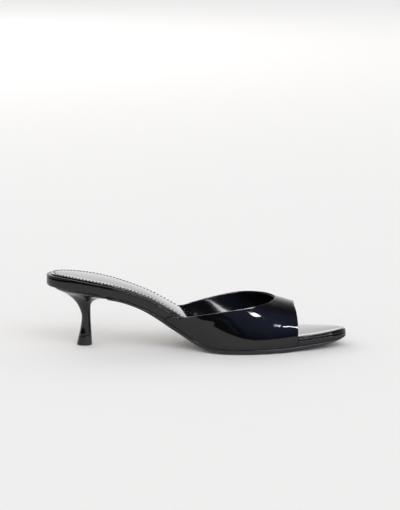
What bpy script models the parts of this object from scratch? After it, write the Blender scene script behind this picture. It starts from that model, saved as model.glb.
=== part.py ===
"""Heeled mule: a black patent mule with an open toe, a wrapped sole and a slim flared kitten heel.

It is a right shoe. +X points to the toe, -Y to the outer side of the foot, +Z up.
The floor is Z = 0 and the origin is the middle of the shoe's box on the floor.
"""

from collections import namedtuple
from math import acos, cos, hypot, pi, radians, sin, sqrt

import bmesh
import bpy

MM = 0.001

# Driving sizes of the last
LENGTH = 245.0 * MM
BALL_WIDTH = 79.0 * MM
WAIST_WIDTH = 36.5 * MM
SEAT_WIDTH = 48.0 * MM
HEEL_RISE = 48.4 * MM
TOE_SPRING = 7.8 * MM
INSTEP_HEIGHT = 40.5 * MM

# Layers of the sole, from the floor up
OUTSOLE = 3.8 * MM
MIDSOLE = 6.4 * MM
FOOTBED_BACK = 1.7 * MM
FOOTBED_TOE = 2.2 * MM
FOOTBED_TUCK = 0.8 * MM
INSOLE = 0.8 * MM
INSOLE_CROWN = 0.8 * MM
INSOLE_MARGIN_BACK = 4.0 * MM
INSOLE_MARGIN_TOE = 1.4 * MM
EDGE_ROUND = 0.7 * MM
BACK_ROUND = 3.2 * MM
BACK_ROUND_LENGTH = 14.0 * MM

# Upper
UPPER_WALL = 1.5 * MM
UPPER_EDGE_ROUND = 0.35 * MM
WING_BLEND = 26.0 * MM
SECTION_POWER = 2.2

# Heel
HEEL_SETBACK = 30.8 * MM
HEEL_BASE_LENGTH = 12.6 * MM
HEEL_BASE_WIDTH = 12.0 * MM
HEEL_TIP_HEIGHT = 7.7 * MM
HEEL_TIP_ROUND = 0.5 * MM
HEEL_LIP_INSET = 1.0 * MM

# Clearance between pieces, and how finely the forms are cut
GAP = 0.3 * MM
STEP_LENGTH = 0.1 * MM
STEP_MARGIN = 1.0 * MM
SOLE_STATIONS = 52
UPPER_ROWS = 38
UPPER_COLUMNS = 22
HEEL_STATIONS = 18
CROWN_COLUMNS = 6

# Places along the shoe, as shares of its length from the back of the heel
BREAST = 0.2165
WING_END = 0.394

# Plan outline of the sole: each half width is a share of the named width that the row follows
Outline = namedtuple("Outline", "along width outer inner")
OUTLINE = (
    Outline(0.000, SEAT_WIDTH, 0.000, 0.000),
    Outline(0.020, SEAT_WIDTH, 0.262, 0.262),
    Outline(0.066, SEAT_WIDTH, 0.402, 0.400),
    Outline(0.110, SEAT_WIDTH, 0.470, 0.468),
    Outline(0.160, SEAT_WIDTH, 0.503, 0.497),
    Outline(0.216, SEAT_WIDTH, 0.484, 0.460),
    Outline(0.276, SEAT_WIDTH, 0.434, 0.396),
    Outline(0.336, WAIST_WIDTH, 0.530, 0.486),
    Outline(0.390, WAIST_WIDTH, 0.523, 0.477),
    Outline(0.435, WAIST_WIDTH, 0.570, 0.520),
    Outline(0.480, BALL_WIDTH, 0.333, 0.306),
    Outline(0.515, BALL_WIDTH, 0.398, 0.372),
    Outline(0.550, BALL_WIDTH, 0.447, 0.423),
    Outline(0.600, BALL_WIDTH, 0.487, 0.470),
    Outline(0.655, BALL_WIDTH, 0.500, 0.499),
    Outline(0.715, BALL_WIDTH, 0.481, 0.490),
    Outline(0.770, BALL_WIDTH, 0.432, 0.442),
    Outline(0.840, BALL_WIDTH, 0.343, 0.349),
    Outline(0.920, BALL_WIDTH, 0.237, 0.240),
    Outline(0.974, BALL_WIDTH, 0.135, 0.136),
    Outline(1.000, BALL_WIDTH, 0.000, 0.000),
)

# Side profile of the sole: arch is a share of the heel's rise, spring of the toe spring,
# and outsole and midsole are upright thicknesses as shares of their named sizes
Profile = namedtuple("Profile", "along arch spring outsole midsole")
PROFILE = (
    Profile(0.000, 1.000, 0.00, 0.37, 1.17),
    Profile(0.066, 0.986, 0.00, 0.37, 1.10),
    Profile(0.100, 0.975, 0.00, 0.37, 1.01),
    Profile(0.130, 0.957, 0.00, 0.37, 0.96),
    Profile(0.170, 0.919, 0.00, 0.37, 0.97),
    Profile(0.216, 0.862, 0.00, 0.37, 1.02),
    Profile(0.260, 0.797, 0.00, 0.41, 1.03),
    Profile(0.306, 0.705, 0.00, 0.50, 1.05),
    Profile(0.336, 0.626, 0.00, 0.61, 1.11),
    Profile(0.365, 0.533, 0.00, 0.78, 1.19),
    Profile(0.400, 0.407, 0.00, 0.95, 1.27),
    Profile(0.430, 0.309, 0.00, 0.99, 1.30),
    Profile(0.460, 0.221, 0.00, 0.92, 1.26),
    Profile(0.490, 0.140, 0.00, 0.82, 1.16),
    Profile(0.520, 0.067, 0.00, 0.80, 1.05),
    Profile(0.550, 0.019, 0.00, 0.90, 0.95),
    Profile(0.580, 0.000, 0.00, 1.00, 0.87),
    Profile(0.660, 0.000, 0.00, 1.00, 0.73),
    Profile(0.800, 0.000, 0.00, 1.00, 0.63),
    Profile(0.840, 0.000, 0.12, 0.88, 0.61),
    Profile(0.880, 0.000, 0.26, 0.72, 0.62),
    Profile(0.920, 0.000, 0.43, 0.56, 0.63),
    Profile(0.960, 0.000, 0.66, 0.42, 0.55),
    Profile(1.000, 0.000, 1.00, 0.30, 0.29),
)

# Crest of the last over the forefoot as a share of the instep's height, and how much fuller
# than its foot line each section is halfway up
Crest = namedtuple("Crest", "along height fullness")
CREST = (
    Crest(0.390, 2.247, 0.130),
    Crest(0.450, 2.012, 0.150),
    Crest(0.485, 1.878, 0.130),
    Crest(0.520, 1.748, 0.080),
    Crest(0.600, 1.462, 0.020),
    Crest(0.660, 1.269, 0.000),
    Crest(0.710, 1.126, 0.005),
    Crest(0.760, 1.002, 0.020),
    Crest(0.790, 0.950, 0.032),
    Crest(0.820, 0.897, 0.045),
    Crest(0.860, 0.815, 0.055),
)

# Cut edges of the upper: how far along the shoe the edge lies at each share of the way
# up from the foot line to the crest
Cut = namedtuple("Cut", "up outer inner")
TOPLINE = (
    Cut(0.000, WING_END, WING_END),
    Cut(0.075, 0.405, 0.403),
    Cut(0.135, 0.436, 0.431),
    Cut(0.226, 0.468, 0.462),
    Cut(0.272, 0.482, 0.476),
    Cut(0.390, 0.521, 0.517),
    Cut(0.529, 0.586, 0.575),
    Cut(0.669, 0.655, 0.631),
    Cut(0.787, 0.702, 0.675),
    Cut(0.886, 0.734, 0.714),
    Cut(0.955, 0.751, 0.737),
    Cut(1.000, 0.762, 0.762),
)
TOE_EDGE = (
    Cut(0.000, 0.8340, 0.8340),
    Cut(0.400, 0.8351, 0.8351),
    Cut(0.590, 0.8345, 0.8345),
    Cut(0.840, 0.8308, 0.8308),
    Cut(0.930, 0.8272, 0.8272),
    Cut(0.970, 0.8236, 0.8236),
    Cut(1.000, 0.8170, 0.8170),
)

# Edge forms of the layers, from the lower face to the upper one: how far the edge is drawn in,
# as a share of the rounding, and how far up the layer it lies
Edge = namedtuple("Edge", "drawn_in up")
SQUARE_EDGE = (Edge(1.0, 0.00), Edge(0.3, 0.06), Edge(0.0, 0.20), Edge(0.0, 0.88), Edge(0.5, 1.00))
ROLLED_EDGE = (Edge(0.8, 0.00), Edge(0.2, 0.18), Edge(0.0, 0.45), Edge(0.3, 0.78), Edge(1.3, 1.00))
PAD_EDGE = (Edge(0.0, 0.00), Edge(0.1, 0.50), Edge(1.2, 1.00))

# Heel from its tip up: the stem's reach behind, before and beside its axis as shares of the base,
# then how far each has flared out towards the seat under the sole
HeelRow = namedtuple("HeelRow", "level back front side flare_back flare_front flare_side")
HEEL = (
    HeelRow(0.000, 0.53, 0.47, 0.50, 0.000, 0.000, 0.000),
    HeelRow(0.160, 0.40, 0.45, 0.44, 0.000, 0.000, 0.000),
    HeelRow(0.260, 0.31, 0.43, 0.39, 0.000, 0.000, 0.000),
    HeelRow(0.370, 0.23, 0.41, 0.35, 0.000, 0.000, 0.000),
    HeelRow(0.490, 0.18, 0.39, 0.33, 0.000, 0.000, 0.000),
    HeelRow(0.590, 0.18, 0.39, 0.33, 0.040, 0.000, 0.015),
    HeelRow(0.690, 0.18, 0.39, 0.33, 0.125, 0.010, 0.060),
    HeelRow(0.775, 0.18, 0.39, 0.33, 0.255, 0.110, 0.170),
    HeelRow(0.840, 0.18, 0.39, 0.33, 0.410, 0.340, 0.330),
    HeelRow(0.895, 0.18, 0.39, 0.33, 0.590, 0.660, 0.560),
    HeelRow(0.932, 0.18, 0.39, 0.33, 0.750, 0.920, 0.840),
    HeelRow(0.962, 0.18, 0.39, 0.33, 0.885, 0.992, 0.970),
    HeelRow(1.000, 0.18, 0.39, 0.33, 1.000, 1.000, 1.000),
)
HEEL_STEM_TOP = 0.49
SEAT_FRONT_SQUARENESS = 0.14


# Reading the tables

def smooth(keys, values, key):
    """Value at a key on a curve through the rows that never overshoots them."""
    last = len(keys) - 1
    key = min(max(key, keys[0]), keys[last])
    spans = [keys[i + 1] - keys[i] for i in range(last)]
    grades = [(values[i + 1] - values[i]) / spans[i] for i in range(last)]
    row = max(i for i in range(last) if key >= keys[i])
    start = slope_at(row, spans, grades)
    end = slope_at(row + 1, spans, grades)
    t = (key - keys[row]) / spans[row]
    return (
        values[row] * (1 + 2 * t) * (1 - t) ** 2
        + values[row + 1] * t * t * (3 - 2 * t)
        + start * spans[row] * t * (1 - t) ** 2
        + end * spans[row] * t * t * (t - 1)
    )


def slope_at(row, spans, grades):
    """Slope of the smooth curve at a row: a mean of the two grades beside it, or none at a peak."""
    if row == 0:
        return grades[0] + (grades[0] - grades[1]) * spans[0] / (spans[0] + spans[1])
    if row == len(grades):
        return grades[-1] + (grades[-1] - grades[-2]) * spans[-1] / (spans[-1] + spans[-2])
    before, after = grades[row - 1], grades[row]
    if before * after <= 0:
        return 0.0
    weight_before = 2 * spans[row] + spans[row - 1]
    weight_after = spans[row] + 2 * spans[row - 1]
    return (weight_before + weight_after) / (weight_before / before + weight_after / after)


def column(table, name, key, key_name="along"):
    return smooth([getattr(row, key_name) for row in table], [getattr(row, name) for row in table], key)


def mix(start, end, share):
    return start + (end - start) * share


def ease(share):
    """0 to 1 with no corner at either end."""
    share = min(max(share, 0.0), 1.0)
    return share * share * (3 - 2 * share)


# The last: outline, profile and layers

def x_at(along):
    return (along - 0.5) * LENGTH


def along_at(x):
    return min(max(x / LENGTH + 0.5, 0.0), 1.0)


def turn(along):
    """Angle that goes from 0 at the back to pi at the toe, in which the round ends are smooth."""
    return acos(1 - 2 * along)


def half_width_at_turn(angle, side):
    name = "outer" if side < 0 else "inner"
    keys = [turn(row.along) for row in OUTLINE]
    return smooth(keys, [getattr(row, name) * row.width for row in OUTLINE], angle)


def half_width(along, side):
    return half_width_at_turn(turn(along), side)


def outline_slope(along, side):
    """How fast the half width grows with the distance along the shoe."""
    nudge = 0.004
    before, after = max(along - nudge, 0.001), min(along + nudge, 0.999)
    return (half_width(after, side) - half_width(before, side)) / ((after - before) * LENGTH)


def edge_point(along, side, inset):
    """Point on the outline, moved in square to it by the inset."""
    nudge = 0.01
    angle = turn(along)
    before, after = max(angle - nudge, 0.0), min(angle + nudge, pi)
    run = (cos(before) - cos(after)) * LENGTH / 2
    rise = side * (half_width_at_turn(after, side) - half_width_at_turn(before, side))
    if along in (0.0, 1.0):
        run = 0.0
    size = hypot(run, rise)
    x = x_at(along) + side * rise / size * inset
    y = side * half_width(along, side) - side * run / size * inset
    return x, (0.0 if along in (0.0, 1.0) else y)


def ground(along):
    arch, spring = column(PROFILE, "arch", along), column(PROFILE, "spring", along)
    return HEEL_RISE * arch + TOE_SPRING * spring


def outsole_top(along):
    return ground(along) + OUTSOLE * column(PROFILE, "outsole", along)


def midsole_bottom(along):
    return outsole_top(along) + GAP


def midsole_top(along):
    return midsole_bottom(along) + MIDSOLE * column(PROFILE, "midsole", along)


def footbed_bottom(along):
    return midsole_top(along) + GAP


def footbed_top(along):
    return footbed_bottom(along) + mix(FOOTBED_BACK, FOOTBED_TOE, along)


def insole_bottom(along):
    return footbed_top(along) + GAP


def insole_top(along):
    return insole_bottom(along) + INSOLE


def toe_step():
    """Where the wrapped layers step out to the full outline, just before the upper's front edge."""
    return column(TOE_EDGE, "outer", 0.0, "up") + GAP / LENGTH


def wrap_depth(along):
    """How far the sole's upper layers are drawn in, to leave room for the upper's wall."""
    if along > toe_step():
        return 0.0
    return (UPPER_WALL + GAP) * ease((along - WING_END) * LENGTH / WING_BLEND)


def footbed_inset(along):
    """The footbed lies further in than the midsole, because the upper's wall leans in over it."""
    return wrap_depth(along) * (1 + FOOTBED_TUCK / (UPPER_WALL + GAP))


def wing_pride(along):
    """How far the upper's face stands outside the outline, where the wrap is not at its full depth."""
    full = UPPER_WALL + GAP
    return full - full * ease((along - WING_END) * LENGTH / WING_BLEND)


def no_inset(along):
    return 0.0


def edge_round(along):
    return EDGE_ROUND


def back_round(along):
    """Rounding of the midsole's lower edge, which is larger around the back of the heel."""
    return mix(BACK_ROUND, EDGE_ROUND, ease(along * LENGTH / BACK_ROUND_LENGTH))


def insole_margin(along):
    return mix(INSOLE_MARGIN_BACK, INSOLE_MARGIN_TOE, ease(along))


def stations(start, end, step_at=None):
    """Places along the shoe, the same ones in every layer and closer together at its round ends.

    Where the outline steps there is a pair of them.
    """
    step = STEP_LENGTH / LENGTH
    places = [(1 - cos(pi * i / SOLE_STATIONS)) / 2 for i in range(SOLE_STATIONS + 1)]
    places = [start, *(place for place in places if start + step < place < end - step), end]
    if step_at is not None:
        places = [place for place in places if abs(place - step_at) > STEP_MARGIN / LENGTH]
        places += [step_at - step, step_at + step]
    return sorted(places)


# Building blocks

def new_object(name, bm, collection):
    bmesh.ops.recalc_face_normals(bm, faces=bm.faces)
    mesh = bpy.data.meshes.new(name)
    bm.to_mesh(mesh)
    bm.free()
    obj = bpy.data.objects.new(name, mesh)
    collection.objects.link(obj)
    return obj


def shade(obj, degrees=40):
    obj.data.shade_smooth()
    obj.data.set_sharp_from_angle(angle=radians(degrees))


def close_face(bm, corners):
    """Face over the corners, each taken once where two of them are the same point."""
    kept = [c for i, c in enumerate(corners) if c is not corners[i - 1]]
    bm.faces.new(kept)


def row_vertices(bm, rows):
    """Vertices of one ring, as pairs from the back of the shoe to its front. A pair may be one point."""
    made = []
    for outer, inner in rows:
        first = bm.verts.new(outer)
        same = hypot(outer[0] - inner[0], outer[1] - inner[1]) < 1e-9
        made.append((first, first if same else bm.verts.new(inner)))
    return made


def cap(bm, ring, rise):
    """Closes a ring with strips across the shoe, raised by rise(share across) where it is given."""
    count = CROWN_COLUMNS if rise else 1
    strips = []
    for outer, inner in ring:
        strip = [outer]
        for i in range(1, count):
            share = i / count
            point = outer.co.lerp(inner.co, share)
            point.z += rise(share, along_at(point.x)) if rise else 0.0
            strip.append(outer if outer is inner else bm.verts.new(point))
        strip.append(inner)
        strips.append(strip)
    for here, there in zip(strips, strips[1:]):
        for i in range(count):
            corners = [here[i], there[i], there[i + 1], here[i + 1]]
            if len(set(corners)) > 2:
                close_face(bm, corners)


def solid_from_rings(name, collection, rings, rise=None):
    """Closed solid through rings from the lowest to the highest, capped at both ends."""
    bm = bmesh.new()
    made = [row_vertices(bm, ring) for ring in rings]
    for lower, higher in zip(made, made[1:]):
        loop_low = [pair[0] for pair in lower] + [pair[1] for pair in reversed(lower)]
        loop_high = [pair[0] for pair in higher] + [pair[1] for pair in reversed(higher)]
        for i in range(len(loop_low)):
            corners = [loop_low[i - 1], loop_low[i], loop_high[i], loop_high[i - 1]]
            if len(set(corners)) > 2:
                close_face(bm, corners)
    cap(bm, made[0], None)
    cap(bm, made[-1], rise)
    return new_object(name, bm, collection)


def layer(name, collection, bottom, top, inset, edge, rounding, places, rise=None):
    """One layer of the sole between two height functions, inside the outline by inset(along)."""
    rings = []
    for row in edge:
        ring = []
        for along in places:
            pair = []
            for side in (-1, 1):
                drawn_in = row.drawn_in * (rounding(along) if row.up < 0.5 else EDGE_ROUND)
                x, y = edge_point(along, side, inset(along) + drawn_in)
                here = along_at(x)
                pair.append((x, y, mix(bottom(here), top(here), row.up)))
            ring.append(pair)
        rings.append(ring)
    obj = solid_from_rings(name, collection, rings, rise)
    shade(obj)
    return obj


def material(name, colour, roughness, coat=0.0, metallic=0.0):
    made = bpy.data.materials.new(name)
    made.use_nodes = True
    shader = made.node_tree.nodes["Principled BSDF"]
    shader.inputs["Base Color"].default_value = (*colour, 1.0)
    shader.inputs["Roughness"].default_value = roughness
    shader.inputs["Metallic"].default_value = metallic
    shader.inputs["Coat Weight"].default_value = coat
    made.diffuse_color = (*colour, 1.0)
    return made


# Pieces of the sole

def make_outsole(collection):
    places = stations(BREAST + GAP / LENGTH, 1.0)
    return layer("outsole", collection, ground, outsole_top, no_inset, SQUARE_EDGE, edge_round, places)


def make_midsole(collection):
    places = stations(0.0, 1.0, toe_step())
    return layer(
        "midsole", collection, midsole_bottom, midsole_top, wrap_depth, SQUARE_EDGE, back_round, places
    )


def make_footbed(collection):
    places = stations(0.0, 1.0, toe_step())
    return layer(
        "footbed", collection, footbed_bottom, footbed_top, footbed_inset, ROLLED_EDGE, edge_round, places
    )


def make_insole(collection):
    places = stations(0.0, 1.0)
    covered = UPPER_WALL + GAP

    def inset(along):
        fade_in = ease((along - WING_END) * LENGTH / WING_BLEND)
        fade_out = 1 - ease((along - toe_step()) * LENGTH / WING_BLEND)
        return insole_margin(along) + covered * fade_in * fade_out

    def rise(across, along):
        return INSOLE_CROWN * (1 - (2 * across - 1) ** 2) * sin(turn(along)) ** 0.5

    return layer(
        "insole", collection, insole_bottom, insole_top, inset, PAD_EDGE, edge_round, places, rise
    )


# Upper

def even_rows(count):
    """Angles round a section, spaced evenly along its curve from the outer foot line to the inner one."""
    fine = 400
    lengths = [0.0]
    previous = section_shape(0.0)
    for i in range(1, fine + 1):
        here = section_shape(pi * i / fine)
        lengths.append(lengths[-1] + hypot(here[0] - previous[0], here[1] - previous[1]))
        previous = here
    angles = []
    for row in range(count + 1):
        goal = lengths[-1] * row / count
        i = max(j for j in range(fine) if lengths[j] <= goal + 1e-12)
        share = (goal - lengths[i]) / (lengths[i + 1] - lengths[i])
        angles.append(pi * (i + min(share, 1.0)) / fine)
    return angles


def section_shape(angle):
    """(across, up) of a section of unit half width and height at an angle from 0 to pi."""
    power = 2 / SECTION_POWER
    across = abs(cos(angle)) ** power
    up = max(sin(angle), 0.0) ** power
    return (-across if angle < pi / 2 else across), up


def upper_point(along, angle):
    """Point of the upper's outer face."""
    across, up = section_shape(angle)
    side = -1 if across < 0 else 1
    foot_line = midsole_bottom(along)
    crest = INSTEP_HEIGHT * column(CREST, "height", along)
    fullness = column(CREST, "fullness", along)
    slope = outline_slope(along, side)
    width = half_width(along, side) + wing_pride(along) * sqrt(1 + slope * slope)
    y = across * width * (1 + fullness * 4 * up * (1 - up))
    return x_at(along), y, mix(foot_line, crest, up)


def make_upper(collection):
    bm = bmesh.new()
    grid = []
    for angle in even_rows(UPPER_ROWS):
        up = section_shape(angle)[1]
        side = "outer" if angle < pi / 2 else "inner"
        back = column(TOPLINE, side, up, "up")
        front = column(TOE_EDGE, side, up, "up")
        row = [
            bm.verts.new(upper_point(mix(back, front, i / UPPER_COLUMNS), angle))
            for i in range(UPPER_COLUMNS + 1)
        ]
        grid.append(row)
    for here, there in zip(grid, grid[1:]):
        for i in range(UPPER_COLUMNS):
            bm.faces.new((here[i], here[i + 1], there[i + 1], there[i]))
    obj = new_object("upper", bm, collection)
    crest_face = max(obj.data.polygons, key=lambda face: face.center.z)
    if crest_face.normal.z < 0:
        obj.data.flip_normals()
    wall = obj.modifiers.new("wall", "SOLIDIFY")
    wall.thickness = UPPER_WALL
    wall.offset = -1.0
    wall.use_even_offset = True
    rim = obj.modifiers.new("rim", "BEVEL")
    rim.width = UPPER_EDGE_ROUND
    rim.segments = 2
    rim.limit_method = "ANGLE"
    rim.angle_limit = radians(50)
    shade(obj, 60)
    return obj


# Heel

def heel_axis():
    return HEEL_SETBACK / LENGTH


def heel_ring(level):
    """One ring of the heel at a share of its height, as rows from its back to its front."""
    row = {name: column(HEEL, name, level, "level") for name in HeelRow._fields[1:]}
    axis = x_at(heel_axis())
    seat_back = x_at(0.0) + BACK_ROUND + HEEL_LIP_INSET
    seat_front = x_at(BREAST)
    back = mix(axis - HEEL_BASE_LENGTH * row["back"], seat_back, row["flare_back"])
    front = mix(axis + HEEL_BASE_LENGTH * row["front"], seat_front, row["flare_front"])
    middle_height = outsole_top(heel_axis()) - GAP
    ring = []
    for i in range(HEEL_STATIONS + 1):
        angle = pi - pi * i / HEEL_STATIONS
        share = (1 + cos(angle)) / 2
        x = mix(back, front, share)
        round_side = sin(angle) if 0 < i < HEEL_STATIONS else 0.0
        square_front = round_side ** SEAT_FRONT_SQUARENESS if share > 0.5 else 1.0
        pair = []
        for side in (-1, 1):
            stem_side = HEEL_BASE_WIDTH * row["side"] * round_side
            seat_side = (half_width(BREAST * share, side) - HEEL_LIP_INSET) * square_front
            seat_side = max(seat_side, 0.0) if round_side else 0.0
            y = side * mix(stem_side, seat_side, row["flare_side"])
            follow = ease((level - HEEL_STEM_TOP) / (1 - HEEL_STEM_TOP))
            height = mix(middle_height, outsole_top(along_at(x)), follow)
            pair.append((x, y, height * level))
        ring.append(pair)
    return ring


def heel_levels(start, least):
    """Levels from start to the seat: the table's rows and, where the heel flares, one between each two."""
    rows = [row.level for row in HEEL]
    flared = [(low, high) for low, high in zip(rows, rows[1:]) if low >= HEEL_STEM_TOP]
    levels = rows + [mix(low, high, 0.5) for low, high in flared]
    return [start, *sorted(level for level in levels if level > start + least)]


def tip_level():
    return HEEL_TIP_HEIGHT / (outsole_top(heel_axis()) - GAP)


def drawn_in_ring(ring, amount, height):
    """The ring moved in towards its middle by an amount, at a height."""
    xs = [pair[0][0] for pair in ring]
    middle = (min(xs) + max(xs)) / 2
    moved = []
    for pair in ring:
        row = []
        for x, y, _ in pair:
            size = hypot(x - middle, y)
            scale = max(size - amount, 0.0) / size
            row.append((middle + (x - middle) * scale, y * scale, height))
        moved.append(row)
    return moved


def make_heel(collection):
    gap = GAP / (outsole_top(heel_axis()) - GAP)
    rings = [heel_ring(level) for level in heel_levels(tip_level() + gap, gap)]
    obj = solid_from_rings("heel", collection, rings)
    shade(obj, 50)
    return obj


def make_heel_tip(collection):
    rings = [
        drawn_in_ring(heel_ring(0.0), HEEL_TIP_ROUND, 0.0),
        drawn_in_ring(heel_ring(0.0), HEEL_TIP_ROUND * 0.3, HEEL_TIP_ROUND * 0.3),
    ]
    for share in (0.07, 0.5, 1.0):
        rings.append(heel_ring(tip_level() * share))
    obj = solid_from_rings("heel_tip", collection, rings)
    shade(obj, 50)
    return obj


# Scene

def clear_scene():
    for obj in list(bpy.data.objects):
        bpy.data.objects.remove(obj, do_unlink=True)


def main():
    clear_scene()
    collection = bpy.data.collections.new("heeled_mule")
    bpy.context.scene.collection.children.link(collection)
    patent = material("black_patent", (0.006, 0.006, 0.009), 0.08, coat=1.0)
    lining = material("insole_lining", (0.02, 0.02, 0.022), 0.35)
    finishes = (
        (make_outsole, material("outsole_rubber", (0.012, 0.012, 0.013), 0.4)),
        (make_midsole, patent.copy()),
        (make_footbed, patent.copy()),
        (make_insole, lining),
        (make_upper, patent),
        (make_heel, material("heel_lacquer", (0.006, 0.006, 0.008), 0.1, coat=1.0)),
        (make_heel_tip, material("heel_tip_rubber", (0.015, 0.015, 0.015), 0.45)),
    )
    for make, finish in finishes:
        make(collection).data.materials.append(finish)


main()
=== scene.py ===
# %% [markdown]
# # A black patent mule on a pale studio floor
#
# The solids of this shoe come from its CAD model: the outsole, the wrapped midsole, the footbed band,
# the insole, the hollow upper, the heel and the heel's tip. They are exact but faceted, and patent
# leather is close to a mirror, so every facet would show. Here each solid gets a smooth skin of its
# own form, a finish, and the small work that a maker adds: the lining, its stitches, soft creases.

# %% Load the shoe's solids
from math import cos, pi, radians, sin

import bmesh
import bpy
from mathutils import Matrix, Quaternion, Vector
from mathutils.bvhtree import BVHTree


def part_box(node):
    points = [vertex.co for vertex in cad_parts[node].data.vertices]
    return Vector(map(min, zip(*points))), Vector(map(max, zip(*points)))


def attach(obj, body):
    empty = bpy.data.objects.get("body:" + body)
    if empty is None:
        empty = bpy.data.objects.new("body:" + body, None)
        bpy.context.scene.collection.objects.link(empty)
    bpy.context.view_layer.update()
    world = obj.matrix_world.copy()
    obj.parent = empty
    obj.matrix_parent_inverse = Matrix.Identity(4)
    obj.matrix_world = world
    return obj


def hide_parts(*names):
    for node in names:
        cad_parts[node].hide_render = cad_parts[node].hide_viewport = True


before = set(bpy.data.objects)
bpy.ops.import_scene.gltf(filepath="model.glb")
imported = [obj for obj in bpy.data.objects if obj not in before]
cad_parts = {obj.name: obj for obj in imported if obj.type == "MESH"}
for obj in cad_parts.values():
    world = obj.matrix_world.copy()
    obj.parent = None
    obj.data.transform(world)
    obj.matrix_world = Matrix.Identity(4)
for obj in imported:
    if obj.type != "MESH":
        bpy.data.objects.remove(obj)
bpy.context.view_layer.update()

MM = 0.001
scene = bpy.context.scene
print("CAD nodes:", ", ".join(sorted(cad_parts)))

# %% [markdown]
# ## The camera
#
# The photo is taken square to the outer side of the shoe from about 1.4 m, ten degrees above the
# floor. A long lens keeps the toe and the heel at nearly the same scale. The numbers come from the
# length of the sole in the photo and from how much of the insole shows.

# %% Set the camera at the photo's view
CAMERA_DISTANCE = 1.4
CAMERA_RISE = radians(10)
AIM = Vector((0.00285, 0.0, 0.0745))

camera_data = bpy.data.cameras.new("photo_camera")
camera_data.sensor_width = 36.0
camera_data.lens = 121.35
camera_data.clip_start = 0.05
camera_data.clip_end = 100.0
camera = bpy.data.objects.new("photo_camera", camera_data)
camera.location = AIM + CAMERA_DISTANCE * Vector((0.0, -cos(CAMERA_RISE), sin(CAMERA_RISE)))
camera.rotation_euler = (pi / 2 - CAMERA_RISE, 0.0, 0.0)
scene.collection.objects.link(camera)
scene.camera = camera
scene.view_settings.view_transform = "Standard"
print("camera at", tuple(round(value, 4) for value in camera.location))

# %% [markdown]
# ## Helpers for materials
#
# Colours are written as the hex values that a designer reads from a swatch. Blender works in linear
# light, so one function turns them. Another adds a node, sets it up and links it in one call.

# %% Colour and node helpers
def linear(swatch):
    """Linear colour with full alpha from an sRGB hex value such as '#202024'."""
    levels = [int(swatch[i:i + 2], 16) / 255 for i in (1, 3, 5)]
    return (*(v / 12.92 if v <= 0.04045 else ((v + 0.055) / 1.055) ** 2.4 for v in levels), 1.0)


def add_node(tree, kind, links=None, **settings):
    """New node. Settings are its properties, or sockets by name; links join sockets to its inputs."""
    node = tree.nodes.new(kind)
    for name, value in settings.items():
        label = name.replace("_", " ").title()
        if hasattr(node, name):
            setattr(node, name, value)
        else:
            node.inputs[label].default_value = value
    for name, source in (links or {}).items():
        tree.links.new(source, node.inputs[name])
    return node


def new_finish(name, swatch, roughness, ior=1.5):
    """Material with a Principled shader in one colour, and its node tree and shader."""
    finish = bpy.data.materials.new(name)
    finish.use_nodes = True
    shader = finish.node_tree.nodes["Principled BSDF"]
    shader.inputs["Base Color"].default_value = linear(swatch)
    shader.inputs["Roughness"].default_value = roughness
    shader.inputs["IOR"].default_value = ior
    return finish, finish.node_tree, shader


print("black patent as linear light:", [round(v, 4) for v in linear("#08080a")])

# %% [markdown]
# ## Floor, room and lamps
#
# The shoe stands on a wide white floor. Black patent has hardly a colour of its own: what we see is
# the room in it. Its lower sides mirror the white floor as dark grey, its flanks mirror a dark room
# behind the camera, and its crest and insole, seen at a low angle, mirror the bright wall behind. So
# the room is a sky that is white behind the shoe and falls off to near black above and in front,
# with a dim blue glow high at the front right.

# %% Lay the floor
FLOOR_RADIUS = 14.0
FLOOR_SEGMENTS = 96

floor_mesh = bmesh.new()
bmesh.ops.create_circle(floor_mesh, cap_ends=True, segments=FLOOR_SEGMENTS, radius=FLOOR_RADIUS)
floor_data = bpy.data.meshes.new("studio_floor")
floor_mesh.to_mesh(floor_data)
floor_mesh.free()
floor = bpy.data.objects.new("studio_floor", floor_data)
scene.collection.objects.link(floor)

# Uncoated roll paper: it scatters nearly all light evenly, and the eye sees no gloss on it.
floor_finish, _, floor_shader = new_finish("matt_white_paper", "#e6e4df", 0.9)
floor_shader.inputs["Specular IOR Level"].default_value = 0.1
floor_data.materials.append(floor_finish)
print("floor radius", FLOOR_RADIUS, "m")

# %% Paint the room around it
GLOW_TOWARDS = Vector((0.42, -0.58, 0.70)).normalized()
GLOW_RANGE = (0.62, 1.0)
WALL_FROM_SIDE_TO_BACK = (-0.10, 0.70)
WALL_FROM_TOP_TO_FOOT = (1.05, 0.22)
ROOM_STRENGTH = 1.12

room = bpy.data.worlds.new("studio_room")
scene.world = room
room.use_nodes = True
tree = room.node_tree
background = tree.nodes["Background"]
place = add_node(tree, "ShaderNodeTexCoord")
parts = add_node(tree, "ShaderNodeSeparateXYZ", {"Vector": place.outputs["Generated"]})


def ramp(source, low, high):
    """Smooth step of a value, from 0 at low to 1 at high."""
    step = add_node(tree, "ShaderNodeMapRange", {"Value": source}, interpolation_type="SMOOTHSTEP")
    step.inputs["From Min"].default_value = low
    step.inputs["From Max"].default_value = high
    return step.outputs["Result"]


def colour_output(mix):
    """The colour socket of a Mix node, which also has ones for numbers and vectors."""
    return [socket for socket in mix.outputs if socket.type == "RGBA"][0]


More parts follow.
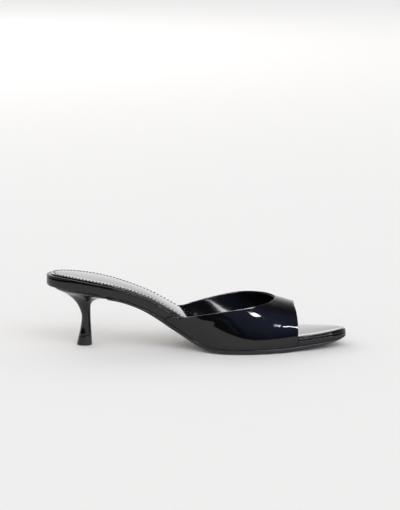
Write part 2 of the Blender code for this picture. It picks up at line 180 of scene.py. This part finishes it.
wall = add_node(tree, "ShaderNodeMath", operation="MULTIPLY")
tree.links.new(ramp(parts.outputs["Y"], *WALL_FROM_SIDE_TO_BACK), wall.inputs[0])
tree.links.new(ramp(parts.outputs["Z"], *WALL_FROM_TOP_TO_FOOT), wall.inputs[1])
aim = add_node(tree, "ShaderNodeVectorMath", {0: place.outputs["Generated"]}, operation="DOT_PRODUCT")
aim.inputs[1].default_value = GLOW_TOWARDS
near_glow = ramp(aim.outputs["Value"], *GLOW_RANGE)
glow = add_node(tree, "ShaderNodeMix", {"Factor": near_glow}, data_type="RGBA")
glow.inputs["A"].default_value = linear("#101116")
glow.inputs["B"].default_value = linear("#717eaa")
light = add_node(tree, "ShaderNodeMix", {"Factor": wall.outputs["Value"]}, data_type="RGBA")
light.inputs["B"].default_value = linear("#f6f6f6")
tree.links.new(colour_output(glow), light.inputs["A"])
tree.links.new(colour_output(light), background.inputs["Color"])
background.inputs["Strength"].default_value = ROOM_STRENGTH
print("room: bright wall behind the shoe, a dim glow towards", tuple(round(v, 2) for v in GLOW_TOWARDS))

# %% [markdown]
# ## Lamps
#
# Four wide suns and a large softbox light the paper: one from straight above, as wide as a ceiling,
# a narrower one from the right, which lays the faint shadow to the left, and fills from the front
# and the left that keep the shadow pale. A mirror would show them, so all are kept out of
# reflections. What patent and lining show instead are lamps of their own, which in turn don't light
# the paper: a small softbox is the bright kite on the flank, a strip the thin streak near the toe
# edge, another the streak inside the vamp, and two more brighten the insole and the topline's rim.


# %% Hang the lamps
def hung(lamp_data, name, place, aim, roll=0.0):
    """Links a lamp at a place, turned to a point and rolled about its beam."""
    lamp = bpy.data.objects.new(name, lamp_data)
    lamp.location = place
    turn = (Vector(aim) - Vector(place)).to_track_quat("-Z", "Y")
    lamp.rotation_euler = (turn @ Quaternion((0.0, 0.0, 1.0), radians(roll))).to_euler()
    scene.collection.objects.link(lamp)
    return lamp


def sun(name, place, width, strength):
    """Even light from one side of the sky, as wide as an angle, that no mirror shows."""
    data = bpy.data.lights.new(name, "SUN")
    data.angle = radians(width)
    data.energy = strength
    hung(data, name, place, (0.0, 0.0, 0.0)).visible_glossy = False


def softbox(name, towards, seen_from, distance, width, height, watts, roll=0.0):
    """Rectangular lamp in a direction from a place on the shoe."""
    data = bpy.data.lights.new(name, "AREA")
    data.shape = "RECTANGLE"
    data.size, data.size_y = width, height
    data.energy = watts
    spot = Vector(seen_from)
    return hung(data, name, spot + distance * Vector(towards).normalized(), spot, roll)


# name, place, width in degrees, strength
sun("ceiling_light", (0.0, 0.0, 3.0), 170, 1.32)
sun("side_light", (2.0, -1.6, 2.6), 50, 0.20)
sun("front_fill", (1.0, -3.0, 1.3), 75, 1.95)
sun("left_fill", (-3.0, -0.6, 1.3), 75, 1.00)

# %% Hang the softboxes
FLANK = (0.047, -0.031, 0.032)
VAMP_EDGE = (0.074, -0.029, 0.021)
INNER_WALL = (0.013, 0.020, 0.015)
INSOLE_TOE = (0.120, 0.0, 0.010)
TOPLINE = (0.0, 0.0, 0.040)
FLOOR_CENTRE = (0.0, 0.0, 0.0)

# direction, the place on the shoe that it is for, distance, width, height in metres, power in watts
flank_softbox = softbox("flank_softbox", (0.43, -0.50, 0.75), FLANK, 1.6, 0.32, 0.12, 4.6, roll=20)
toe_strip = softbox("toe_strip", (0.73, -0.475, 0.48), VAMP_EDGE, 1.5, 0.64, 0.14, 9.0, roll=-32)
lining_strip = softbox("lining_strip", (0.42, -0.77, 0.48), INNER_WALL, 1.3, 0.9, 0.14, 13.0)
insole_softbox = softbox("insole_softbox", (0.05, 0.90, 0.45), INSOLE_TOE, 2.0, 2.4, 0.5, 3.6)
edge_strip = softbox("edge_strip", (0.0, -0.12, 1.0), TOPLINE, 1.6, 1.6, 0.5, 90.0)
for lamp in (flank_softbox, toe_strip, lining_strip, insole_softbox, edge_strip):
    lamp.visible_diffuse = False

# This one lies flat above the paper behind the shoe.
paper_softbox = softbox("paper_softbox", (-0.3, 0.55, 0.35), FLOOR_CENTRE, 6.0, 4.0, 4.0, 70.0)
paper_softbox.rotation_euler = (0.0, 0.0, 0.0)
paper_softbox.visible_glossy = False

# %% [markdown]
# ## Smooth skins over the solids
#
# A solid arrives as loose triangles. Merged and paired back into four-sided faces it is the cage
# that a modeller would have drawn, and a Subdivision Surface turns the cage into an even skin.
# Edges that are crisp on the shoe get a crease, so that they stay narrow without turning into knives.

# %% A smooth copy of a solid
MERGE = 0.002 * MM
PAIR_BEND = radians(40)
PAIR_SHAPE = radians(60)
SQUARE_END_REACH = 5 * MM
SKIN_LEVELS = 2


def cage_of(node):
    """The solid's mesh with its corners merged and its triangles paired."""
    cage = bmesh.new()
    cage.from_mesh(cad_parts[node].data)
    bmesh.ops.remove_doubles(cage, verts=cage.verts, dist=MERGE)
    bmesh.ops.join_triangles(
        cage, faces=cage.faces, angle_face_threshold=PAIR_BEND, angle_shape_threshold=PAIR_SHAPE
    )
    return cage


def crease(cage, sharper_than, hold, square_end):
    """Marks the edges sharper than an angle, fully so near the X place of an end cut square."""
    layer = cage.edges.layers.float.new("crease_edge")
    for edge in cage.edges:
        if edge.calc_face_angle(0.0) < radians(sharper_than):
            continue
        from_end = max(abs(end.co.x - square_end) for end in edge.verts)
        edge[layer] = 1.0 if from_end < SQUARE_END_REACH else hold


def placed(name, shape, finish):
    """Links a shape as a smooth piece of the shoe."""
    mesh = bpy.data.meshes.new(name)
    shape.to_mesh(mesh)
    shape.free()
    mesh.materials.append(finish)
    mesh.shade_smooth()
    piece = bpy.data.objects.new(name, mesh)
    scene.collection.objects.link(piece)
    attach(piece, "root")
    print(name, "faces:", len(mesh.polygons))
    return piece


def skinned(name, cage, node, finish):
    """Turns a cage into a smooth piece that stands for a CAD node."""
    piece = placed(name, cage, finish)
    skin = piece.modifiers.new("skin", "SUBSURF")
    skin.levels = SKIN_LEVELS
    skin.render_levels = SKIN_LEVELS
    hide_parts(node)
    return piece


def fine_mesh(piece):
    """The mesh of a piece with its skin applied, ready for work by hand."""
    evaluated = piece.evaluated_get(bpy.context.evaluated_depsgraph_get())
    fine = bmesh.new()
    fine.from_mesh(evaluated.to_mesh())
    evaluated.to_mesh_clear()
    return fine


print("each face of a cage becomes", 4 ** SKIN_LEVELS, "faces of its skin")

# %% [markdown]
# ## Patent leather
#
# Patent leather is split hide under a thick, poured layer of polyurethane. The hide gives the black,
# the poured layer a second, even sharper reflection. It lies nearly flat but not quite: over a few
# centimetres it swells and dips by hundredths of a millimetre, and that bends straight reflections.

# %% Mix the patent finish
PATENT_SWELL = 26 * MM
PATENT_SWELL_DEPTH = 0.10 * MM
PATENT_SMEAR = 5 * MM

# Poured polyurethane over dyed hide: deep black, and a mirror whose straight lines wander a little.
patent, tree, shader = new_finish("black_patent_leather", "#08080a", 0.06, ior=1.46)
shader.inputs["Coat Weight"].default_value = 0.12
shader.inputs["Coat Roughness"].default_value = 0.015
place = add_node(tree, "ShaderNodeTexCoord")
swell = add_node(
    tree, "ShaderNodeTexNoise", {"Vector": place.outputs["Object"]}, scale=1 / PATENT_SWELL, detail=1.0
)
bump = add_node(
    tree, "ShaderNodeBump", {"Height": swell.outputs["Fac"]}, strength=1.0, distance=PATENT_SWELL_DEPTH
)
tree.links.new(bump.outputs["Normal"], shader.inputs["Normal"])
smear = add_node(
    tree, "ShaderNodeTexNoise", {"Vector": place.outputs["Object"]}, scale=1 / PATENT_SMEAR, detail=3.0
)
dull = add_node(tree, "ShaderNodeMapRange", {"Value": smear.outputs["Fac"]})
dull.inputs["From Min"].default_value = 0.35
dull.inputs["From Max"].default_value = 0.75
dull.inputs["To Min"].default_value = 0.04
dull.inputs["To Max"].default_value = 0.11
tree.links.new(dull.outputs["Result"], shader.inputs["Roughness"])
print("patent swell", round(PATENT_SWELL / MM), "mm")

# %% [markdown]
# ## Lining, sole rubber and the heel's tip
#
# The insole and the inside of the upper are smooth lining leather with a finish coat. Rolled flat
# along the shoe, it keeps faint lines in that direction, which smear its reflection. The outsole is
# a thin moulded sheet with a fine grain, and the tip of the heel is a hard, satin plastic rubber.

# %% Mix the lining finish
STREAK_LENGTH = 60 * MM
STREAK_WIDTH = 6 * MM
STREAK_DEPTH = 0.05 * MM

# Plated and lacquered leather: a softer mirror than patent, drawn out along the shoe.
lining, tree, shader = new_finish("coated_lining_leather", "#0e0e12", 0.10, ior=1.6)
shader.inputs["Coat Weight"].default_value = 1.0
shader.inputs["Coat Roughness"].default_value = 0.05
place = add_node(tree, "ShaderNodeTexCoord")
drawn = add_node(tree, "ShaderNodeMapping", {"Vector": place.outputs["Object"]})
drawn.inputs["Scale"].default_value = (1 / STREAK_LENGTH, 1 / STREAK_WIDTH, 1 / STREAK_LENGTH)
streaks = add_node(tree, "ShaderNodeTexNoise", {"Vector": drawn.outputs["Vector"]}, scale=1.0, detail=4.0)
bump = add_node(
    tree, "ShaderNodeBump", {"Height": streaks.outputs["Fac"]}, strength=1.0, distance=STREAK_DEPTH
)
tree.links.new(bump.outputs["Normal"], shader.inputs["Normal"])
smear = add_node(tree, "ShaderNodeMapRange", {"Value": streaks.outputs["Fac"]})
smear.inputs["To Min"].default_value = 0.06
smear.inputs["To Max"].default_value = 0.18
tree.links.new(smear.outputs["Result"], shader.inputs["Roughness"])
print("lining streaks", round(STREAK_WIDTH / MM, 1), "mm wide")


# %% Mix the sole rubber and the tip
def grained(name, swatch, roughness, grain, depth):
    """Satin finish with an even grain of one size and depth."""
    finish, tree, shader = new_finish(name, swatch, roughness)
    place = add_node(tree, "ShaderNodeTexCoord")
    cells = add_node(
        tree,
        "ShaderNodeTexVoronoi",
        {"Vector": place.outputs["Object"]},
        scale=1 / grain,
        feature="SMOOTH_F1",
    )
    bump = add_node(
        tree, "ShaderNodeBump", {"Height": cells.outputs["Distance"]}, strength=0.6, distance=depth
    )
    tree.links.new(bump.outputs["Normal"], shader.inputs["Normal"])
    return finish


SOLE_GRAIN = 0.9 * MM
TIP_GRAIN = 0.6 * MM

# Moulded thermoplastic rubber keeps the mould's fine etching, which breaks its gloss up evenly.
sole_rubber = grained("moulded_sole_rubber", "#1a1a1c", 0.30, SOLE_GRAIN, 0.06 * MM)
# A heel's tip is a harder, denser plastic rubber: the same black, a finer grain, a satin gleam.
tip_rubber = grained("hard_tip_rubber", "#202022", 0.34, TIP_GRAIN, 0.02 * MM)
print("grains: sole", round(SOLE_GRAIN / MM, 1), "mm, tip", round(TIP_GRAIN / MM, 1), "mm")

# %% [markdown]
# ## The sole: outsole, wrapped midsole, footbed band and insole
#
# The edges of these layers are folded or trimmed, so they stay crisp but never knife sharp: a crease
# of about one half does that. Only near the outsole's end, cut square against the heel, is it a full
# one, in each layer.
#
# Along the waist the wrapped footbed is drawn in to a thin bead, so its seam to the midsole runs
# close under the insole's edge. Moving the rows of points beside the seam does that in both layers,
# and they stay in touch. Where the outsole ends, its outer corners lap back over the heel's lip.

# %% Draw the footbed's band in to a thin bead
BEAD_LIFT = 1.25 * MM
FOOTBED_ROWS = (1.0, 0.9, 0.5)
MIDSOLE_ROWS = (1.0, 1.0)
WAIST_START = (-110 * MM, -94 * MM)
WAIST_END = (-22 * MM, -8 * MM)
LEVEL_ENOUGH = 0.7
WIDE_ENOUGH = 10 * MM


def smooth_share(value, start, end):
    """0 before start, 1 past end, and a smooth run between them."""
    share = min(1.0, max(0.0, (value - start) / (end - start)))
    return share * share * (3.0 - 2.0 * share)


def lift_seam(cage, side, shares):
    """Raises the rows of points next to the seam between footbed and midsole, along the waist only."""
    row = set()
    for face in cage.faces:
        across = [vert.co.y for vert in face.verts]
        if face.normal.z * side > LEVEL_ENOUGH and max(across) - min(across) > WIDE_ENOUGH:
            row.update(face.verts)
    seen = set(row)
    for share in shares:
        for vert in row:
            x = vert.co.x
            along = smooth_share(x, *WAIST_START) * (1 - smooth_share(x, *WAIST_END))
            vert.co.z += BEAD_LIFT * share * along
        row = {edge.other_vert(vert) for vert in row for edge in vert.link_edges} - seen
        seen |= row


print("the seam is lifted by", round(BEAD_LIFT / MM, 2), "mm along the waist")

# %% Lap the outsole over the heel's lip
LAP = 2.8 * MM
LAP_START = (12 * MM, 18 * MM)
END_DEPTH = 1 * MM


def lap_heel(cage, square_end):
    """Draws the outer corners of the outsole's end back over the rounded lip of the heel."""
    for vert in cage.verts:
        if vert.co.x < square_end + END_DEPTH:
            vert.co.x -= LAP * smooth_share(abs(vert.co.y), *LAP_START)


print("the outsole laps", round(LAP / MM, 1), "mm over the heel's lip")

# %% Skin the sole
LAYER_EDGE = 25

square_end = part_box("outsole")[0][0]
for node, hold, finish in (
    ("outsole", 0.6, sole_rubber),
    ("midsole", 0.5, patent),
    ("footbed", 0.4, patent),
    ("insole", 0.5, lining),
):
    cage = cage_of(node)
    crease(cage, LAYER_EDGE, hold, square_end)
    if node == "midsole":
        lift_seam(cage, 1, MIDSOLE_ROWS)
    if node == "footbed":
        lift_seam(cage, -1, FOOTBED_ROWS)
    if node == "outsole":
        lap_heel(cage, square_end)
    skinned(node + "_skin", cage, node, finish)

# %% [markdown]
# ## The heel and its tip
#
# The heel is a moulded block wrapped in the same patent as the midsole. Its form is all in the solid:
# a concave flare under the seat and a waist. The tip is a separate plug of hard rubber. Both only
# need an even skin, with the seat's rim and the tip's edges kept crisp.

# %% Skin the heel and its tip
HEEL_EDGE = 50

for node, finish in (("heel", patent), ("heel_tip", tip_rubber)):
    cage = cage_of(node)
    crease(cage, HEEL_EDGE, 0.6, square_end)
    skinned(node + "_skin", cage, node, finish)

# %% [markdown]
# ## The upper and its creases
#
# The vamp is one hollow wall, so its skin is too. Worn and stored, patent takes a few soft creases,
# and each bends the room that it mirrors. They are placed one by one: a line along the leather in the
# shoe's own millimetres, how far its slopes reach, and how deep the trough or how high the ridge is.

# %% Lay soft creases along a line
CREASES = (
    # (x, y, z) points of the line, reach, height, all in millimetres: a trough is negative
    (((-14.0, -31.5, 26.0), (2.0, -34.0, 27.0), (12.0, -34.6, 27.8)), 4.6, 0.30),
    (((46.0, -31.0, 32.0), (48.0, -32.0, 30.5)), 13.0, 0.30),
    (((17.0, -36.0, 31.0), (26.0, -36.5, 27.5), (29.0, -37.0, 23.0), (33.0, -38.0, 19.0)), 2.2, -0.24),
    (((36.0, -36.0, 25.0), (43.0, -36.0, 21.0), (47.0, -37.0, 16.0)), 4.5, -0.07),
    (((70.0, -31.0, 21.5), (75.0, -29.5, 21.5), (79.0, -27.5, 20.5)), 2.6, 0.10),
    (((73.0, -30.5, 23.5), (75.5, -30.0, 19.0)), 2.2, -0.10),
    (((60.0, -14.0, 38.5), (68.0, -16.0, 36.0), (75.0, -16.0, 33.0)), 4.0, -0.06),
)


def line_distance(point, line):
    """How far a point lies from the nearest stretch of a line."""
    nearest = []
    for start, end in zip(line, line[1:]):
        run = end - start
        share = min(1.0, max(0.0, (point - start).dot(run) / run.length_squared))
        nearest.append((point - start - share * run).length)
    return min(nearest)


def lay_creases(shape, creases):
    """Moves a shape's points along their normals, most at each crease's line and none past its reach."""
    for points, reach, height in creases:
        line = [Vector(point) * MM for point in points]
        for vert in shape.verts:
            share = line_distance(vert.co, line) / (reach * MM)
            if share < 1.0:
                vert.co += vert.normal * height * MM * (1.0 - share * share) ** 2


print("deepest crease:", min(height for _, _, height in CREASES), "mm")

# %% Skin the upper
cage = cage_of("upper")
upper_skin = skinned("upper_skin", cage, "upper", patent)
upper_shape = fine_mesh(upper_skin)
upper_skin.modifiers.remove(upper_skin.modifiers["skin"])
lay_creases(upper_shape, CREASES)
upper_shape.to_mesh(upper_skin.data)
upper_skin.data.shade_smooth()
print("upper skin faces:", len(upper_skin.data.polygons), "creases:", len(CREASES))

# %% [markdown]
# ## The upper's lining
#
# Inside, the vamp is faced with thin lining leather, glued down and trimmed just short of the
# topline. Here it is the skin's own inner faces, lifted off and given a thickness. It could be drawn
# anew, but then it would never lie so close to the wall. The bright streak that the photo shows on
# the far wing is a lamp that this lining mirrors by way of the insole.

# %% Find the inner faces
LINING_THICKNESS = 0.35 * MM
LINING_LIFT = 0.02 * MM
LEAST_GAP_TO_SOLE = 0.8 * MM
AXIS_ABOVE_SOLE = 5 * MM
ABOVE_ALL = 1.0
DOWN = Vector((0.0, 0.0, -1.0))
FACES_INWARDS = -0.5

sole_tree = BVHTree.FromObject(bpy.data.objects["footbed_skin"], bpy.context.evaluated_depsgraph_get())
insole_tree = BVHTree.FromObject(bpy.data.objects["insole_skin"], bpy.context.evaluated_depsgraph_get())


def insole_height(x, y=0.0):
    """Height of the insole's top at a place in plan, or None past its edge."""
    place = insole_tree.ray_cast(Vector((x, y, ABOVE_ALL)), DOWN)[0]
    return None if place is None else place.z


def faces_the_foot(face):
    """True where a face looks at the middle of the foot, clear of the sole that the upper wraps."""
    centre = face.calc_center_median()
    middle = Vector((centre.x, 0.0, insole_height(centre.x) + AXIS_ABOVE_SOLE))
    outward = (centre - middle).normalized()
    gap_to_sole = sole_tree.find_nearest(centre)[3]
    return face.normal.dot(outward) < FACES_INWARDS and gap_to_sole > LEAST_GAP_TO_SOLE


inner = [face for face in upper_shape.faces if faces_the_foot(face)]
print("inner faces:", len(inner), "of", len(upper_shape.faces))

# %% Lift the lining off the wall
kept = set(inner)
outer = [face for face in upper_shape.faces if face not in kept]
bmesh.ops.delete(upper_shape, geom=outer, context="FACES")
rim = {edge for edge in upper_shape.edges if edge.is_boundary}
trim = [face for face in upper_shape.faces if any(edge in rim for edge in face.edges)]
bmesh.ops.delete(upper_shape, geom=trim, context="FACES")
for vert in upper_shape.verts:
    vert.co += vert.normal * LINING_LIFT
upper_lining = placed("upper_lining", upper_shape, lining)
wall = upper_lining.modifiers.new("thickness", "SOLIDIFY")
wall.thickness = LINING_THICKNESS
wall.offset = 1.0

# %% [markdown]
# ## The insole's stitches
#
# A single row of waxed black thread holds the insole down, a little inside its edge. It ends under
# the vamp: the photo shows none at the toe. A curve with a bevel would make one long cord, so each
# stitch is a small long bead instead, half sunk in the leather on a line that follows the edge.
# Thread and pitch are drawn about twice as coarse as the real ones, or the render would lose them.

# %% Find the stitch line
STITCH_INSET = 2.1 * MM
STITCHES_END = 58 * MM
HEEL_CENTRE = -98 * MM
TOE_CENTRE = 98 * MM
FARTHEST_REACH = 50 * MM
SEARCH_STEPS = 24
TURN_STEP = 6
TURN_COUNT = 31
ALONG_THE_SIDE = range(-94, 98, 4)


def edge_reach(x, aim):
    """How far the insole's top reaches from the middle line at x towards a direction in plan."""
    low, high = 0.0, FARTHEST_REACH
    for _ in range(SEARCH_STEPS):
        middle = (low + high) / 2
        if insole_height(x + middle * aim.x, middle * aim.y) is None:
            high = middle
        else:
            low = middle
    return low


def stitch_line():
    """Points round the insole, an even inset within its edge."""
    starts = [(HEEL_CENTRE, radians(90 + TURN_STEP * turn)) for turn in range(TURN_COUNT)]
    starts += [(x * MM, radians(270)) for x in ALONG_THE_SIDE]
    starts += [(TOE_CENTRE, radians(-90 + TURN_STEP * turn)) for turn in range(TURN_COUNT)]
    starts += [(-x * MM, radians(90)) for x in ALONG_THE_SIDE]
    line = []
    for x, angle in starts:
        aim = Vector((cos(angle), sin(angle), 0.0))
        reach = edge_reach(x, aim) - STITCH_INSET
        line.append(Vector((x, 0.0, 0.0)) + reach * aim)
    return line


def even_steps(line, pitch):
    """Points a pitch apart along a closed line, each with the direction of the line there."""
    steps, ahead = [], 0.0
    for start, end in zip(line, line[1:] + line[:1]):
        run = end - start
        while ahead < run.length:
            steps.append((start + run.normalized() * ahead, run.normalized()))
            ahead += pitch
        ahead -= run.length
    return steps


edge_line = stitch_line()
print("points on the stitch line:", len(edge_line))

# %% Stitch the insole
STITCH_PITCH = 2.8 * MM
STITCH_SIZE = Vector((1.9, 1.0, 1.0)) * MM

stitches = [step for step in even_steps(edge_line, STITCH_PITCH) if step[0].x <= STITCHES_END]
threads = bmesh.new()
for place, along in stitches:
    seat, up, _, _ = insole_tree.ray_cast(Vector((place.x, place.y, ABOVE_ALL)), DOWN)
    side = up.cross(along).normalized()
    turn = Matrix((side.cross(up).normalized(), side, up)).transposed().to_4x4()
    size = Matrix.Diagonal((*(STITCH_SIZE / 2), 1.0))
    bmesh.ops.create_uvsphere(
        threads, u_segments=8, v_segments=5, radius=1.0, matrix=Matrix.Translation(seat) @ turn @ size
    )
print("stitches:", len(stitches))

# %% Mix the thread finish
PLY_WIDTH = 0.5 * MM
PLY_DEPTH = 0.05 * MM

# Twisted polyester drawn through wax: near black with a dull sheen, broken by the twist of its plies.
waxed_thread, tree, shader = new_finish("waxed_black_thread", "#1b1b1e", 0.35)
place = add_node(tree, "ShaderNodeTexCoord")
twist = add_node(
    tree, "ShaderNodeTexNoise", {"Vector": place.outputs["Object"]}, scale=1 / PLY_WIDTH, detail=2.0
)
bump = add_node(
    tree, "ShaderNodeBump", {"Height": twist.outputs["Fac"]}, strength=0.5, distance=PLY_DEPTH
)
tree.links.new(bump.outputs["Normal"], shader.inputs["Normal"])
placed("insole_stitches", threads, waxed_thread)

# %% [markdown]
# ## Lamps that are meant for single pieces
#
# A photographer screens a lamp with black card so that it shows in one place only. Light linking is
# that card: the streak inside the vamp and the light on the toe's lining come from lamps that only
# the insole mirrors, and the fine light line along the topline from one for the upper and outsole.

# %% Aim three lamps at single pieces
for lamp, pieces in (
    (lining_strip, ("insole_skin",)),
    (insole_softbox, ("insole_skin",)),
    (edge_strip, ("upper_skin", "outsole_skin")),
):
    lit = bpy.data.collections.new(lamp.name + "_lights")
    for piece in pieces:
        lit.objects.link(bpy.data.objects[piece])
    lamp.light_linking.receiver_collection = lit
    print(lamp.name, "lights", ", ".join(pieces))
